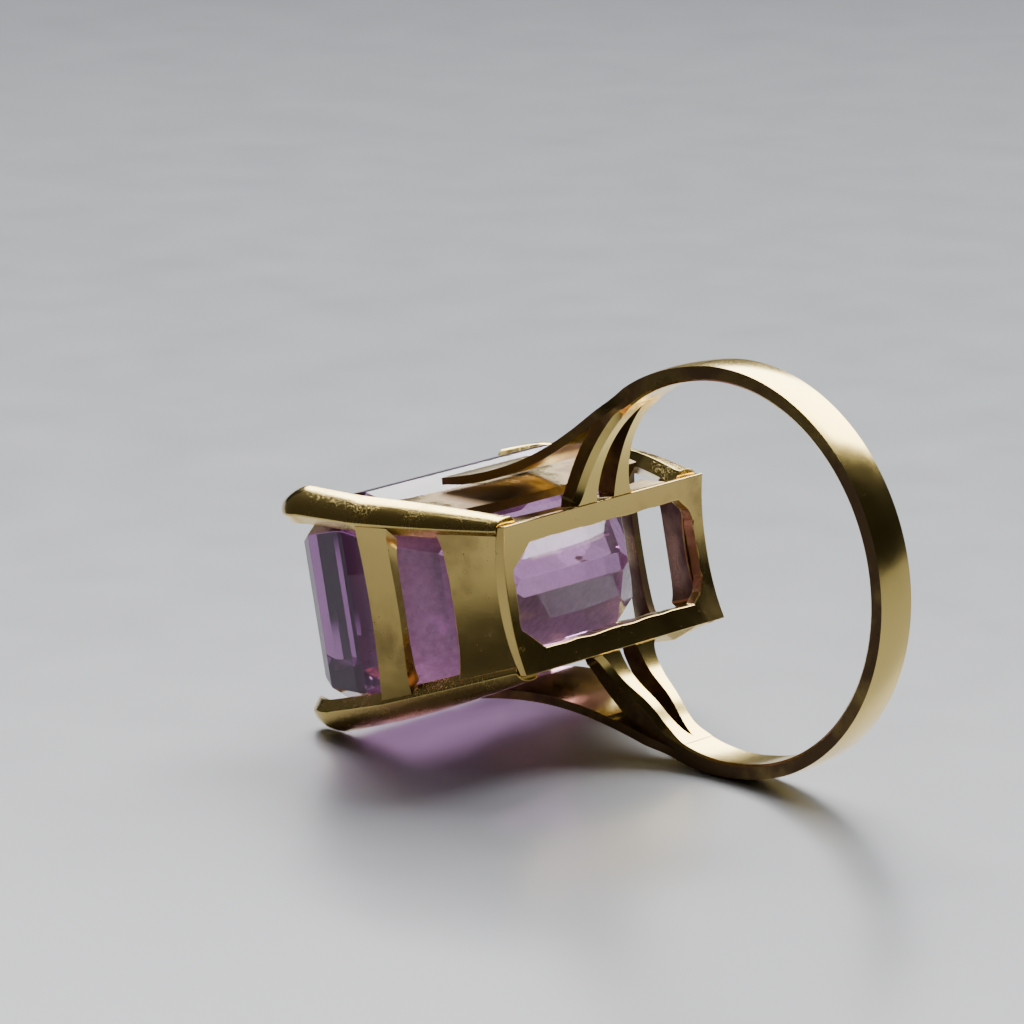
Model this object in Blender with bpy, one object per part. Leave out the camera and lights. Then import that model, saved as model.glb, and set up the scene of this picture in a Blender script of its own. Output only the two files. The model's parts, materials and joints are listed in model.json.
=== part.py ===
"""Cocktail ring: a large step-cut stone in an open claw basket on a split-shoulder shank.

The ring is drawn upright in its own jewellery axes, in millimetres:
  x  across the finger hole, towards the left shoulder
  y  along the finger, towards the rear end of the head
  z  from the middle of the finger hole towards the face of the stone
An empty called ring_pose scales it to metres and lays it on its side, the way it rests on
a table: on the back of the band and on the two right-hand claws. In the world +X is
towards the back of the band, +Y runs along the finger and +Z is up, the table is z = 0 and
the origin is under the middle of the ring's box.
"""

import math

import bmesh
import bpy
from mathutils import Matrix, Vector

MM = 0.001

# Finger hole: half an ellipse at the back, squarer towards the head.
HOLE_HALF_WIDTH = 8.67
HOLE_BACK_DEPTH = 8.40
HOLE_FRONT_DEPTH = 8.05
HOLE_FRONT_SQUARENESS = 2.25

# Gap left for the solder in every joint, and between the stone and its claws.
SOLDER_GAP = 0.02

# Band, which runs round the back from one seam to the other.
BAND_WIDTH = 2.0
BAND_THICKNESS = 0.68
BAND_CROWN = 0.08
SEAM_THICKNESS = 0.88
SEAM_ANGLE = 62.0
SEAM_SWELL_ANGLE = 26.0
BAND_STEPS = 46
CROWN_STEPS = 4

# Base plate: its underside is part of the finger hole.
PLATE_HALF_LENGTH = 6.62
PLATE_HALF_WIDTH = 3.42
PLATE_THICKNESS = 0.45
PLATE_STEPS = 14
WINDOW_HALF_LENGTH = 6.05
WINDOW_HALF_WIDTH = 2.42
WINDOW_CHAMFER = 1.05

# Stone: widest outline, and the heights of its faces above the middle of the finger hole.
STONE_HALF_LENGTH = 8.15
STONE_HALF_WIDTH = 5.2
STONE_CORNER_CUT = 1.45
STONE_CORNER_SLANT = 1.36
GIRDLE_HEIGHT = 16.6
GIRDLE_THICKNESS = 0.6
CROWN_HEIGHT = 3.75
PAVILION_DEPTH = 6.2
KEEL_HALF_LENGTH = 3.6

# Basket: rails between the claws, each a strip standing in the wall of the head.
LOWER_RAIL_THICKNESS = 0.72
UPPER_RAIL_THICKNESS = 0.60
END_SET_BACK = 0.14
SIDE_SET_BACK = 0.45
END_LOWER_RAIL_TOP = 10.9
END_UPPER_RAIL_BOTTOM = 13.65
SIDE_LOWER_RAIL_TOP = 10.3
SIDE_UPPER_RAIL_BOTTOM = 11.7
UPPER_RAIL_TOP = 15.15
SEAT_DEPTH = 1.3
SEAT_LIP = 0.2
RAIL_STEPS = 8

# Corner claws: a strip across each corner, from the base plate to over the stone's corner.
CLAW_THICKNESS = 0.75
CLAW_BASE_HEIGHT = 8.2
CLAW_WIDEST_HEIGHT = 15.4
CLAW_SHOULDER_HEIGHT = 19.3
CLAW_TIP_HEIGHT = 21.25
CLAW_BOW = 0.22
CLAW_STEPS = 7
REAR_CLAW_TAPER = 0.7
REAR_CLAW_TAPER_FROM = 11.0
REAR_CLAW_TAPER_TO = 18.5

# Shoulders: an outer ribbon to the side of the head and two inner legs to the base plate.
RIBBON_THICKNESS = 0.42
RIBBON_ROOT_HALF_WIDTH = 1.1
RIBBON_TIP_HALF_WIDTH = 2.8
RIBBON_TIP_DROP = 0.05
LEG_THICKNESS = 0.95
LEG_FOOT_HALF_WIDTH = 1.95
CROTCH_ROUNDING = 0.65
SLOT_HALF_WIDTH = 0.56
SLOT_END_ANGLE = 58.5
SHOULDER_STEPS = 14

# Colours as linear red, green and blue.
GOLD = (0.62, 0.46, 0.20)
AMETHYST = (0.30, 0.14, 0.42)


def mix(a, b, share):
    """The value that lies a share of the way from a to b."""
    return a + (b - a) * share


# ---------------------------------------------------------------- outlines

def hole_point(angle, offset=0.0):
    """Point (x, z) of the finger hole, degrees from the head, moved outwards by an offset."""
    turn = math.radians(angle)
    sine, cosine = math.sin(turn), math.cos(turn)
    if cosine >= 0.0:
        depth, power = HOLE_FRONT_DEPTH, HOLE_FRONT_SQUARENESS
    else:
        depth, power = HOLE_BACK_DEPTH, 2.0
    across = math.copysign(abs(sine) ** (2.0 / power), sine)
    along = math.copysign(abs(cosine) ** (2.0 / power), cosine)
    normal = Vector((math.copysign(abs(across) ** (power - 1.0), across) / HOLE_HALF_WIDTH,
                     math.copysign(abs(along) ** (power - 1.0), along) / depth))
    return Vector((HOLE_HALF_WIDTH * across, depth * along)) + normal.normalized() * offset


def hole_height(x):
    """Height of the hole's front half above its middle, at a distance x from the centre line."""
    power = HOLE_FRONT_SQUARENESS
    return HOLE_FRONT_DEPTH * (1.0 - abs(x / HOLE_HALF_WIDTH) ** power) ** (1.0 / power)


def plate_top(x):
    """Height of the base plate's upper face."""
    return hole_height(min(abs(x), PLATE_HALF_WIDTH)) + PLATE_THICKNESS


def band_thickness(angle):
    """The band's thickness, which swells towards the seam with the shoulder."""
    past = min(angle, 360.0 - angle) - SEAM_ANGLE
    swell = max(0.0, 1.0 - past / SEAM_SWELL_ANGLE) ** 1.5
    return mix(BAND_THICKNESS, SEAM_THICKNESS, min(swell, 1.0))


def foot_angle():
    """Angle on the finger hole at which the legs meet the side of the base plate."""
    across = (PLATE_HALF_WIDTH + SOLDER_GAP) / HOLE_HALF_WIDTH
    return math.degrees(math.asin(across ** (HOLE_FRONT_SQUARENESS / 2.0)))


def claw_edges(z, rear=False):
    """The claw's two outer edges at a height: (x, y) towards the end and (x, y) towards the side."""
    length, width = PLATE_HALF_LENGTH, PLATE_HALF_WIDTH
    base = (width - 0.22, length + 0.10, width + 0.30, length - 1.02)
    length, width = STONE_HALF_LENGTH, STONE_HALF_WIDTH
    widest = (width - 0.98, length + 0.65, width + 0.05, length - 0.70)
    shoulder = (width - 0.58, length + 0.18, width + 0.60, length - 1.05)
    tip = (width - 0.55, length - 0.85, width - 0.15, length - 1.55)
    bow = 0.0
    if z <= CLAW_WIDEST_HEIGHT:
        low, high = base, widest
        share = (z - CLAW_BASE_HEIGHT) / (CLAW_WIDEST_HEIGHT - CLAW_BASE_HEIGHT)
        bow = CLAW_BOW * 4.0 * share * (1.0 - share)
    elif z <= CLAW_SHOULDER_HEIGHT:
        low, high = widest, shoulder
        share = (z - CLAW_WIDEST_HEIGHT) / (CLAW_SHOULDER_HEIGHT - CLAW_WIDEST_HEIGHT)
    else:
        low, high = shoulder, tip
        share = ((z - CLAW_SHOULDER_HEIGHT) / (CLAW_TIP_HEIGHT - CLAW_SHOULDER_HEIGHT)) ** 2
    end_x, end_y, side_x, side_y = (mix(a, b, share) for a, b in zip(low, high))
    end_y, side_x, side_y = end_y + bow, side_x + bow / 2.0, side_y + bow
    if rear:
        taper = (z - REAR_CLAW_TAPER_FROM) / (REAR_CLAW_TAPER_TO - REAR_CLAW_TAPER_FROM)
        taper = REAR_CLAW_TAPER * min(max(taper, 0.0), 1.0)
        side_x, side_y = mix(side_x, end_x, taper), mix(side_y, end_y, taper)
    return (end_x, end_y), (side_x, side_y)


def end_wall(z):
    """Distance of the outer face of the end rails from the middle of the ring."""
    return claw_edges(z)[0][1] - END_SET_BACK


def side_wall(z):
    """Distance of the outer face of the side rails from the middle of the ring."""
    return claw_edges(z)[1][0] - SIDE_SET_BACK


def ribbon_path(share):
    """Point (x, z) on the outside of the ribbon, from the seam to its tip."""
    start = hole_point(SEAM_ANGLE, SEAM_THICKNESS)
    tip_height = UPPER_RAIL_TOP - RIBBON_TIP_DROP
    tip = Vector((side_wall(tip_height) + SOLDER_GAP + RIBBON_THICKNESS, tip_height))
    rise = tip.y - start.y
    first = start + Vector((-0.175, 0.295)) * rise
    second = tip + Vector((-0.003, -0.482)) * rise
    rest = 1.0 - share
    return (start * rest ** 3 + first * (3.0 * rest ** 2 * share)
            + second * (3.0 * rest * share ** 2) + tip * share ** 3)


def offset_path(path, distance):
    """The same line of points moved sideways, to the left of its direction."""
    moved = []
    for index, point in enumerate(path):
        ahead = path[min(index + 1, len(path) - 1)] - path[max(index - 1, 0)]
        moved.append(point + Vector((-ahead.y, ahead.x)).normalized() * distance)
    return moved


# ---------------------------------------------------------------- building blocks

def material(name, colour, metallic, roughness):
    """A Principled material for one piece."""
    made = bpy.data.materials.new(name)
    made.use_nodes = True
    shader = made.node_tree.nodes["Principled BSDF"]
    shader.inputs["Base Color"].default_value = (*colour, 1.0)
    shader.inputs["Metallic"].default_value = metallic
    shader.inputs["Roughness"].default_value = roughness
    return made


def piece(name, mesh, pose, colour=GOLD, metallic=1.0, roughness=0.25):
    """A named piece of the ring, held by the pose empty."""
    made = bpy.data.objects.new(name, mesh)
    bpy.context.scene.collection.objects.link(made)
    made.parent = pose
    mesh.materials.append(material(name + "_finish", colour, metallic, roughness))
    return made


def loft(name, rings, side=1.0, sharp_degrees=35.0):
    """A closed skin through rings of points, with a flat cap on each end."""
    builder = bmesh.new()
    loops = [[builder.verts.new(point) for point in ring] for ring in rings]
    count = len(loops[0])
    for lower, upper in zip(loops, loops[1:]):
        for index in range(count):
            following = (index + 1) % count
            builder.faces.new((lower[index], lower[following], upper[following], upper[index]))
    builder.faces.new(list(reversed(loops[0])))
    builder.faces.new(loops[-1])
    return finish_mesh(name, builder, side, sharp_degrees)


def finish_mesh(name, builder, side=1.0, sharp_degrees=35.0):
    """Triangulate a piece, mirror it across the ring where side is -1, turn its faces outwards
    and hand over its mesh."""
    bmesh.ops.triangulate(builder, faces=builder.faces)
    for vert in builder.verts:
        vert.co.x *= side
    builder.normal_update()
    bmesh.ops.recalc_face_normals(builder, faces=builder.faces)
    mesh = bpy.data.meshes.new(name)
    builder.to_mesh(mesh)
    builder.free()
    mesh.shade_smooth()
    mesh.set_sharp_from_angle(angle=math.radians(sharp_degrees))
    return mesh


def cut(target, name, mesh, pose):
    """Take a cutter's shape out of a piece."""
    cutter = bpy.data.objects.new(name, mesh)
    bpy.context.scene.collection.objects.link(cutter)
    cutter.parent = pose
    cutter.hide_render = True
    cutter.display_type = "WIRE"
    step = target.modifiers.new(name, "BOOLEAN")
    step.operation = "DIFFERENCE"
    step.object = cutter


# ---------------------------------------------------------------- pieces

def make_shank(pose):
    """The band: flat inside, slightly crowned outside, swept round the back of the hole."""
    half = BAND_WIDTH / 2.0
    section = [(-half, 0.0, 0.0), (half, 0.0, 0.0)]
    for step in range(CROWN_STEPS + 1):
        side = 1.0 - 2.0 * step / CROWN_STEPS
        section.append((side * half, 1.0, BAND_CROWN * (1.0 - side ** 2)))
    margin = math.degrees(SOLDER_GAP / HOLE_HALF_WIDTH)
    first, last = SEAM_ANGLE + margin, 360.0 - SEAM_ANGLE - margin
    rings = []
    for step in range(BAND_STEPS + 1):
        angle = mix(first, last, step / BAND_STEPS)
        ring = []
        for y, share, crown in section:
            point = hole_point(angle, share * band_thickness(angle) + crown)
            ring.append((point.x, y, point.y))
        rings.append(ring)
    piece("shank", loft("shank", rings), pose)


def shoulder_outline():
    """The shoulder seen along the finger: (x, z, half width) round its edge."""
    foot = foot_angle()

    def leg(share, offset):
        point = hole_point(mix(SEAM_ANGLE, foot, share), offset)
        half = mix(BAND_WIDTH / 2.0, LEG_FOOT_HALF_WIDTH, share ** 2)
        return point, half

    def ribbon_half(share):
        root, tip = ribbon_path(0.0).y, ribbon_path(1.0).y
        climbed = (ribbon_path(share).y - root) / (tip - root)
        return mix(RIBBON_ROOT_HALF_WIDTH, RIBBON_TIP_HALF_WIDTH, climbed ** 0.7)

    shares = [step / SHOULDER_STEPS for step in range(SHOULDER_STEPS + 1)]
    outer = [ribbon_path(share) for share in shares]
    inner = offset_path(outer, RIBBON_THICKNESS)
    back = [leg(share, LEG_THICKNESS)[0] for share in shares]

    # The legs' back and the ribbon's inner side run together up to the crotch.
    apart = [index for index in range(1, SHOULDER_STEPS)
             if min((inner[index] - point).length for point in back) > CROTCH_ROUNDING
             and inner[index].y > back[-1].y * 0.8]
    ribbon_from = apart[0]
    clear = [index for index in range(1, SHOULDER_STEPS)
             if min((back[index] - point).length for point in inner) > CROTCH_ROUNDING
             and back[index].y > inner[0].y]
    leg_from = clear[0]
    crotch = (inner[ribbon_from] + back[leg_from]) / 2.0
    crotch += (hole_point(SEAM_ANGLE) - crotch).normalized() * CROTCH_ROUNDING * 0.5
    crotch_half = (ribbon_half(shares[ribbon_from]) + leg(shares[leg_from], 0.0)[1]) / 2.0

    outline = []
    for share in shares:
        point, half = leg(share, 0.0)
        outline.append((point.x, point.y, half))
    foot_x = PLATE_HALF_WIDTH + SOLDER_GAP
    foot_back = hole_point(foot, LEG_THICKNESS)
    outline.append((max(foot_x, side_wall(foot_back.y) + SOLDER_GAP), foot_back.y,
                    LEG_FOOT_HALF_WIDTH))
    for index in range(SHOULDER_STEPS - 1, leg_from - 1, -1):
        outline.append((back[index].x, back[index].y, leg(shares[index], 0.0)[1]))
    outline.append((crotch.x, crotch.y, crotch_half))
    for index in range(ribbon_from, SHOULDER_STEPS + 1):
        outline.append((inner[index].x, inner[index].y, ribbon_half(shares[index])))
    for index in range(SHOULDER_STEPS, -1, -1):
        outline.append((outer[index].x, outer[index].y, ribbon_half(shares[index])))
    return outline


def slot_rings():
    """The wedge between the two legs, which ends as a shallow groove in the shoulder."""
    foot = foot_angle()
    rings = []
    for step in range(SHOULDER_STEPS + 1):
        share = step / SHOULDER_STEPS
        angle = mix(foot - 8.0, SLOT_END_ANGLE, share)
        along = max(0.0, (angle - foot) / (SLOT_END_ANGLE - foot))
        half = SLOT_HALF_WIDTH * (1.0 - 0.95 * along ** 2.5)
        depth = mix(LEG_THICKNESS + 0.25, 0.25, along ** 3)
        low, high = hole_point(angle, -0.5), hole_point(angle, depth)
        rings.append([(low.x, -half, low.y), (low.x, half, low.y),
                      (high.x, half, high.y), (high.x, -half, high.y)])
    return rings


def make_shoulder(name, side, pose):
    """One shoulder: a pierced Y whose branches fan out along the finger."""
    builder = bmesh.new()
    front, rear = [], []
    for x, z, half in shoulder_outline():
        front.append(builder.verts.new((x, -half, z)))
        rear.append(builder.verts.new((x, half, z)))
    for index in range(len(front)):
        following = (index + 1) % len(front)
        builder.faces.new((front[index], front[following], rear[following], rear[index]))
    builder.faces.new(list(reversed(front)))
    builder.faces.new(rear)
    made = piece(name, finish_mesh(name, builder, side), pose)
    cut(made, name + "_slot", loft(name + "_slot", slot_rings(), side), pose)


def make_base_plate(pose):
    """The curved under-frame of the head, with its chamfered window."""
    rings = []
    for step in range(PLATE_STEPS + 1):
        x = mix(-PLATE_HALF_WIDTH, PLATE_HALF_WIDTH, step / PLATE_STEPS)
        low, high = hole_height(x), plate_top(x)
        rings.append([(x, -PLATE_HALF_LENGTH, low), (x, PLATE_HALF_LENGTH, low),
                      (x, PLATE_HALF_LENGTH, high), (x, -PLATE_HALF_LENGTH, high)])
    plate = piece("base_plate", loft("base_plate", rings), pose)
    corners = []
    wide, long, chamfer = WINDOW_HALF_WIDTH, WINDOW_HALF_LENGTH, WINDOW_CHAMFER
    for x_side, y_side in ((1, 1), (-1, 1), (-1, -1), (1, -1)):
        pair = [(x_side * wide, y_side * (long - chamfer)), (x_side * (wide - chamfer), y_side * long)]
        corners += pair if x_side == y_side else pair[::-1]
    prism = [[(x, y, z) for x, y in corners]
             for z in (HOLE_FRONT_DEPTH - 2.0, HOLE_FRONT_DEPTH + 2.0)]
    cut(plate, "base_plate_window", loft("base_plate_window", prism), pose)


def rail_section(wall, bottom, top, seat):
    """Section of a rail: (distance out, height) from the outer bottom round to the inner bottom."""
    if seat:
        ledge = top - SEAT_DEPTH
        thickness = UPPER_RAIL_THICKNESS
        return [(wall(bottom), bottom), (wall(top), top), (wall(top) - SEAT_LIP, top),
                (wall(ledge) - thickness, ledge), (wall(bottom) - thickness, bottom)]
    thickness = LOWER_RAIL_THICKNESS
    return [(wall(bottom), bottom), (wall(top), top), (wall(top) - thickness, top),
            (wall(bottom) - thickness, bottom)]


def make_end_rail(name, side, bottom, top, seat, on_plate, pose):
    """A cross rail at one end of the head, fitted between the two claws there."""
    rings = []
    for step in range(RAIL_STEPS + 1):
        share = mix(-1.0, 1.0, step / RAIL_STEPS)
        ring = []
        for out, z in rail_section(end_wall, bottom, top, seat):
            (end_x, end_y), _ = claw_edges(z)
            x = share * (end_x - (end_y - out) - SOLDER_GAP)
            if on_plate and z == bottom:
                z = plate_top(x) + SOLDER_GAP
            ring.append((x, side * out, z))
        rings.append(ring)
    piece(name, loft(name, rings), pose)


def make_side_rail(name, side, bottom, top, seat, on_plate, pose):
    """A rail along one long side of the head, fitted between the two claws there."""
    rings = []
    for share in (-1.0, 1.0):
        ring = []
        for out, z in rail_section(side_wall, bottom, top, seat):
            _, (side_x, side_y) = claw_edges(z, share > 0.0)
            y = share * (side_y - (side_x - out) - SOLDER_GAP)
            if on_plate and z == bottom:
                z = plate_top(out) + SOLDER_GAP
            ring.append((side * out, y, z))
        rings.append(ring)
    piece(name, loft(name, rings), pose)


def make_claw(name, side, end, pose):
    """A corner claw: a strip that flares up the corner and hooks over the stone."""
    heights = [mix(CLAW_BASE_HEIGHT, CLAW_WIDEST_HEIGHT, step / CLAW_STEPS)
               for step in range(CLAW_STEPS)]
    heights += [mix(CLAW_WIDEST_HEIGHT, CLAW_SHOULDER_HEIGHT, step / 4.0) for step in range(4)]
    heights += [mix(CLAW_SHOULDER_HEIGHT, CLAW_TIP_HEIGHT, step / 4.0) for step in range(5)]
    inward = CLAW_THICKNESS / math.sqrt(2.0)
    rings = []
    for z in heights:
        (end_x, end_y), (side_x, side_y) = claw_edges(z, end > 0)
        corners = [(end_x, end_y), (side_x, side_y),
                   (side_x - inward, side_y - inward), (end_x - inward, end_y - inward)]
        ring = []
        for x, y in corners:
            height = plate_top(x) + SOLDER_GAP if z == CLAW_BASE_HEIGHT else z
            ring.append((side * x, end * y, height))
        rings.append(ring)
    piece(name, loft(name, rings), pose)


def stone_ring(z, narrower, shorter, corner):
    """The stone's eight-sided outline at one height, smaller than the girdle by the given amounts."""
    half_x, half_y = STONE_HALF_WIDTH - narrower, STONE_HALF_LENGTH - shorter
    cut_x = min(STONE_CORNER_CUT * corner, half_x * 0.9)
    cut_y = min(STONE_CORNER_CUT * STONE_CORNER_SLANT * corner, half_y * 0.9)
    ring = []
    for x_side, y_side in ((1, 1), (-1, 1), (-1, -1), (1, -1)):
        pair = [(x_side * half_x, y_side * (half_y - cut_y), z),
                (x_side * (half_x - cut_x), y_side * half_y, z)]
        ring += pair if x_side == y_side else pair[::-1]
    return ring


def make_stone(pose):
    """The step-cut stone: keel, two pavilion steps, girdle, crown steps and table."""
    keel_shorter = STONE_HALF_LENGTH - KEEL_HALF_LENGTH
    top = GIRDLE_HEIGHT + GIRDLE_THICKNESS
    rings = [
        stone_ring(GIRDLE_HEIGHT - PAVILION_DEPTH, STONE_HALF_WIDTH - 0.15, keel_shorter, 0.1),
        stone_ring(GIRDLE_HEIGHT - PAVILION_DEPTH * 0.645, 2.1, 2.25, 0.62),
        stone_ring(GIRDLE_HEIGHT - PAVILION_DEPTH * 0.275, 0.9, 0.6, 0.9),
        stone_ring(GIRDLE_HEIGHT, 0.0, 0.0, 1.0),
        stone_ring(top, 0.0, 0.02, 1.0),
        stone_ring(top + CROWN_HEIGHT * 0.56, 0.25, 0.40, 0.95),
        stone_ring(top + CROWN_HEIGHT * 0.80, 0.75, 0.95, 0.85),
        stone_ring(top + CROWN_HEIGHT, 1.9, 1.95, 0.7),
    ]
    piece("stone", loft("stone", rings, sharp_degrees=1.0), pose, AMETHYST, 0.0, 0.03)


# ---------------------------------------------------------------- pose

def resting_tilt():
    """How far the head drops below level when the ring lies on its band and claws, in radians."""
    band = [hole_point(angle, BAND_THICKNESS + BAND_CROWN) for angle in range(180, 361)]
    claw = []
    for step in range(41):
        z = mix(CLAW_WIDEST_HEIGHT, CLAW_TIP_HEIGHT, step / 40.0)
        for x, _ in claw_edges(z):
            claw.append(Vector((-x, z)))

    def lowest(points, tilt):
        return min(math.cos(tilt) * point.x - math.sin(tilt) * point.y for point in points)

    low, high = 0.0, math.radians(45.0)
    for _ in range(50):
        middle = (low + high) / 2.0
        if lowest(claw, middle) > lowest(band, middle):
            low = middle
        else:
            high = middle
    return (low + high) / 2.0


def lay_down(pose):
    """Turn the ring on its side and put the origin under the middle of its box."""
    tilt = resting_tilt()
    sine, cosine = math.sin(tilt), math.cos(tilt)
    turn = Matrix(((-sine, 0.0, -cosine), (0.0, 1.0, 0.0), (cosine, 0.0, -sine)))
    points = [turn @ vertex.co for made in bpy.data.objects
              if made.type == "MESH" and not made.hide_render for vertex in made.data.vertices]
    low = Vector([min(point[axis] for point in points) for axis in range(3)])
    high = Vector([max(point[axis] for point in points) for axis in range(3)])
    pose.rotation_euler = turn.to_euler()
    pose.scale = (MM, MM, MM)
    pose.location = Vector((-(low.x + high.x) / 2.0, -(low.y + high.y) / 2.0, -low.z)) * MM


def main():
    for old in list(bpy.data.objects):
        bpy.data.objects.remove(old, do_unlink=True)
    pose = bpy.data.objects.new("ring_pose", None)
    bpy.context.scene.collection.objects.link(pose)
    make_shank(pose)
    make_base_plate(pose)
    for side_name, side in (("left", 1), ("right", -1)):
        make_shoulder("shoulder_" + side_name, side, pose)
        make_side_rail("side_rail_lower_" + side_name, side,
                       CLAW_BASE_HEIGHT, SIDE_LOWER_RAIL_TOP, False, True, pose)
        make_side_rail("side_rail_upper_" + side_name, side,
                       SIDE_UPPER_RAIL_BOTTOM, UPPER_RAIL_TOP, True, False, pose)
    for end_name, end in (("front", -1), ("rear", 1)):
        make_end_rail("end_rail_lower_" + end_name, end,
                      CLAW_BASE_HEIGHT, END_LOWER_RAIL_TOP, False, True, pose)
        make_end_rail("end_rail_upper_" + end_name, end,
                      END_UPPER_RAIL_BOTTOM, UPPER_RAIL_TOP, True, False, pose)
        for side_name, side in (("left", 1), ("right", -1)):
            make_claw("claw_" + end_name + "_" + side_name, side, end, pose)
    make_stone(pose)
    lay_down(pose)


main()
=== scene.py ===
"""Cocktail ring: finished surfaces, metals, stone and studio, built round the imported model.

Shapes are worked out in the ring's own axes, in millimetres: x across the finger hole
towards the left shoulder, y along the finger towards the rear end of the head, z from the
middle of the finger hole towards the face of the stone. place() carries them to the frame.
"""

import json

import bmesh
import bpy
import numpy as np
from bpy.props import FloatProperty, FloatVectorProperty, PointerProperty
from bpy.types import Operator, Panel, PropertyGroup
from mathutils import Matrix, Vector


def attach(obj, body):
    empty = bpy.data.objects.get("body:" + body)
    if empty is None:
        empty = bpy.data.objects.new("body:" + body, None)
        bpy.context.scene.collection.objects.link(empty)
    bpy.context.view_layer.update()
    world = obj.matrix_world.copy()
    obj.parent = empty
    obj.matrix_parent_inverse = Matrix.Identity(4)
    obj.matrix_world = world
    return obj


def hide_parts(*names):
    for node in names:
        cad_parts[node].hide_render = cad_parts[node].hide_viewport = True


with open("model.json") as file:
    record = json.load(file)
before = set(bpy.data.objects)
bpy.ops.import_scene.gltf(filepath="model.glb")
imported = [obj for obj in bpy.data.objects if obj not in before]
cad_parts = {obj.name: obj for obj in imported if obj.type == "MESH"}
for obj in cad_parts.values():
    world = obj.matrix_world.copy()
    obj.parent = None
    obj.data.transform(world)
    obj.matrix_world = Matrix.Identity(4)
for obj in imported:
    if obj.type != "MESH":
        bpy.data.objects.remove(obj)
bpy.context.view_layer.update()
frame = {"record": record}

bl_info = {
    "name": "Cocktail ring finish",
    "version": (1, 0, 0),
    "blender": (4, 5, 0),
    "location": "3D Viewport > Sidebar > Ring",
    "description": "Builds the finished surfaces of a claw-set cocktail ring and its studio",
    "category": "Object",
}

MM = 0.001
MOUNTS = {mount["name"]: mount for mount in frame["record"]["mounts"]}

# Finger hole and head, in millimetres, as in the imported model.
HOLE_HALF_WIDTH, HOLE_BACK, HOLE_FRONT, HOLE_SQUARENESS = 8.67, 8.40, 8.05, 2.25
SEAM_ANGLE, SEAM_THICKNESS, SEAM_SWELL = 62.0, 0.88, 26.0
JOINT_GAP = 0.02
PLATE_LENGTH, PLATE_WIDTH, PLATE_THICKNESS, PLATE_RISE = 6.62, 3.42, 0.45, 0.22
WINDOW_LENGTH, WINDOW_WIDTH, WINDOW_CHAMFER = 6.0, 2.42, 1.05
STONE_LENGTH, STONE_WIDTH = 8.15, 5.2
BAND_CHAMFER, BAND_INNER_CROWN = 0.10, 0.01

# Shoulders, in millimetres and degrees: half widths at the seam and at the far end, where the
# slot ends, and how far, where and over what angle the right legs stand inside the hole.
CROTCH_ANGLE, CROTCH_HEIGHT = 38.5, 7.95
LEG_HALF_WIDTHS, RIBBON_HALF_WIDTHS, SLOT_HALF_WIDTH, SLOT_END = (1.0, 1.86), (1.1, 2.8), 0.57, 59.5
SUNK_DEPTH, SUNK_ANGLE, SUNK_SPREAD = 0.38, 42.0, 11.0

# The worn inner edge of a shoulder: its rise at the seam and at the crotch, and its width.
LIP_RISES, LIP_WIDTH = (0.10, 0.30), 0.22

# Basket, in millimetres: the claws' stations up the head, and the rails between them.
CLAW_BASE, CLAW_WIDEST, CLAW_SHOULDER, CLAW_TIP = 8.2, 15.4, 19.3, 21.25
CLAW_BOW, TAPER_START, TAPER_LENGTH, TAPER_SHARE = 0.22, 11.0, 7.5, 0.7
TUCK_DEPTH, TUCK_TOP = 0.27, 11.0
END_SET_BACK, SIDE_SET_BACK, RAIL_HOLLOW, RAIL_FILLET = 0.14, 0.45, 0.20, 0.22
LOWER_THICKNESS, END_LOWER_TOP, SIDE_LOWER_TOP, SIDE_LOWER_PROUD = 0.72, 10.9, 10.3, 0.03
UPPER_THICKNESS, END_UPPER_BOTTOM, SIDE_UPPER_BOTTOM, UPPER_TOP = 0.6, 13.65, 11.7, 15.15
SEAT_LIP, SEAT_DEPTH = 0.2, 1.3

# Finish: edges sharper than the crease angle, in degrees, are creased and worn, and a face is
# on the side of a piece when its normal lies this much along the finger.
CREASE_ANGLE, SIDE_FACE = 32.0, 0.88
QUARTZ_IOR = 1.545

# In metres: the heights above the middle of the finger hole between which the stone's film
# fades, and half the width of the table top.
FILM_HEIGHTS = (0.0140, 0.0165)
TABLE_HALF_WIDTH = 3.0

# Camera, in the ring's own axes: where its eye is, in millimetres, which way the picture's
# right, down and forward run, and the lens as a multiple of the sensor's width.
EYE = (30.7506, -174.0235, -163.7634)
PICTURE_RIGHT = (-0.15302611, 0.69354371, -0.70397452)
PICTURE_DOWN = (-0.98198034, -0.18665577, 0.0295674)
PICTURE_FORWARD = (-0.11089462, 0.69581373, 0.7096095)
LENS_PER_SENSOR = 5.286171875


# ---------------------------------------------------------------- settings

class RingSizes(PropertyGroup):
    """Sizes of the finished surfaces."""

    band_width: FloatProperty(name="Band width", description="Width of the band along the finger",
                              default=0.0020, unit="LENGTH")
    band_thickness: FloatProperty(name="Band thickness", description="Thickness at the back",
                                  default=0.00068, unit="LENGTH")
    band_crown: FloatProperty(name="Band crown", description="Rise of the outside of the band",
                              default=0.000066, unit="LENGTH")
    edge_wear: FloatProperty(name="Edge wear", description="Radius of the worn edges",
                             default=0.00007, unit="LENGTH")
    ribbon_thickness: FloatProperty(name="Ribbon thickness", description="Outer shoulder branch",
                                    default=0.00042, unit="LENGTH")
    leg_thickness: FloatProperty(name="Leg thickness", description="Inner shoulder branches",
                                 default=0.00095, unit="LENGTH")
    claw_thickness: FloatProperty(name="Claw thickness", description="Thickness of each claw",
                                  default=0.00075, unit="LENGTH")
    claw_bulge: FloatProperty(name="Claw bulge", description="Rise of the outside of each claw",
                              default=0.00028, unit="LENGTH")


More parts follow.
